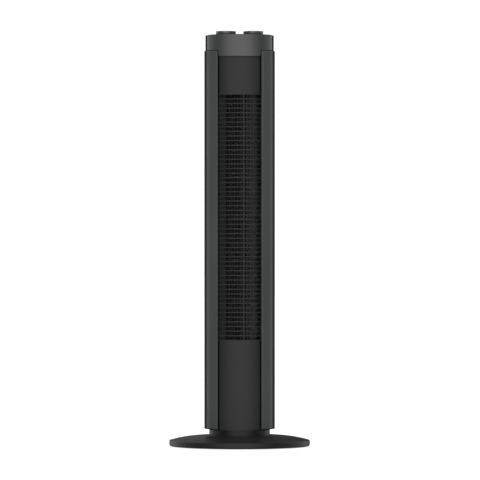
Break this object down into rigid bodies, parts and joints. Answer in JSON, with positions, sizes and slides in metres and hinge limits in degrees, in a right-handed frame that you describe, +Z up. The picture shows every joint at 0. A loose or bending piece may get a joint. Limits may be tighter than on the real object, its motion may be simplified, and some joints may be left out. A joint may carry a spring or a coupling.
{
  "type": "tower fan",
  "caption": "Tall oscillating tower fan on a round base, with a slatted front outlet, curved side covers, rotary speed and timer knobs on top and a swing button.",
  "frame": {"origin": "on the floor under the middle of the base, on the axis the tower swings about", "axes": "+Z up, -Y out of the air outlet, +X to the right of somebody facing the outlet"},
  "size_m": [0.264, 0.264, 0.78],
  "materials": {
    "grey_plastic": "fine satin texture",
    "dark_plastic": "fine satin texture",
    "underside_plastic": "moulded, unpolished",
    "wheel_plastic": "glass-filled, matt",
    "slide_plastic": "natural acetal",
    "switch_plastic": "moulded nylon",
    "capacitor_case": "moulded case",
    "mark_plastic": "printed white",
    "rubber": "matt",
    "bearing_metal": "sintered, oiled",
    "copper_wire": "enamelled wire",
    "steel": "zinc plated",
    "motor_steel": "pressed sheet steel",
    "lamination": "stacked electrical steel"
  },
  "bodies": {
    "base": {"base_cover": "dark_plastic", "base_plate": "underside_plastic", "base_feet": "rubber", "base_screws": "steel", "swivel_seat": "dark_plastic", "seat_screws": "steel", "slide_ring": "underside_plastic"},
    "tower": {"tower_floor": "underside_plastic", "spindle_washer": "steel", "spindle_screw": "steel", "swing_motor": "motor_steel", "swing_motor_screws": "steel", "left_side_cover": "grey_plastic", "right_side_cover": "grey_plastic", "front_panel": "dark_plastic", "front_screws": "steel", "rear_shell": "dark_plastic", "floor_screws": "steel", "top_cap": "grey_plastic", "scroll_guide": "underside_plastic", "tongue_guide": "underside_plastic", "motor_deck": "motor_steel", "upper_deck": "underside_plastic", "deck_screws": "steel", "bearing_cushion": "rubber", "bearing_bush": "bearing_metal", "motor_stator": "lamination", "motor_coils": "copper_wire", "motor_upper_bell": "motor_steel", "motor_lower_bell": "motor_steel", "motor_bushes": "bearing_metal", "motor_grommets": "rubber", "motor_bolts": "steel", "cord_gland": "underside_plastic", "capacitor": "capacitor_case", "terminal_block": "switch_plastic", "speed_switch": "switch_plastic", "timer_body": "switch_plastic", "swing_switch": "switch_plastic", "switch_bracket": "steel"},
    "swing_crank": {"swing_crank": "slide_plastic", "swing_shaft": "steel", "crank_roller": "slide_plastic"},
    "wheel": {"wheel": "wheel_plastic", "wheel_screw": "steel", "wheel_journal": "steel", "motor_shaft": "steel", "motor_rotor": "lamination"},
    "speed_knob": {"speed_knob": "grey_plastic", "speed_knob_mark": "mark_plastic", "speed_spindle": "steel"},
    "timer_knob": {"timer_knob": "grey_plastic", "timer_knob_mark": "mark_plastic", "timer_spindle": "steel"},
    "swing_button": {"swing_button": "dark_plastic"}
  },
  "joints": [
    {"name": "tower_swing", "type": "hinge", "parent": "base", "child": "tower", "pos_m": [0, 0, 0.0335], "axis": [0, 0, 1], "range_deg": [-35, 35]},
    {"name": "crank_turn", "type": "hinge", "parent": "tower", "child": "swing_crank", "pos_m": [0, 0.022, 0.0335], "axis": [0, 0, 1], "range_deg": [-125, 125]},
    {"name": "wheel_spin", "type": "hinge", "parent": "tower", "child": "wheel", "pos_m": [0.0064, 0.004, 0.43], "axis": [0, 0, 1], "continuous": true},
    {"name": "speed_turn", "type": "hinge", "parent": "tower", "child": "speed_knob", "pos_m": [-0.0256, -0.006, 0.7724], "axis": [0, 0, -1], "range_deg": [0, 135]},
    {"name": "timer_turn", "type": "hinge", "parent": "tower", "child": "timer_knob", "pos_m": [0.0256, -0.006, 0.7724], "axis": [0, 0, -1], "range_deg": [0, 300]},
    {"name": "button_press", "type": "slide", "parent": "tower", "child": "swing_button", "axis": [0, 0, -1], "range_m": [0, 0.0022], "stiffness_N_per_m": 600, "springref_m": -0.001}
  ],
  "couplings": [
    {"joint": "crank_turn", "follows": "tower_swing", "ratio": -3.5714}
  ]
}
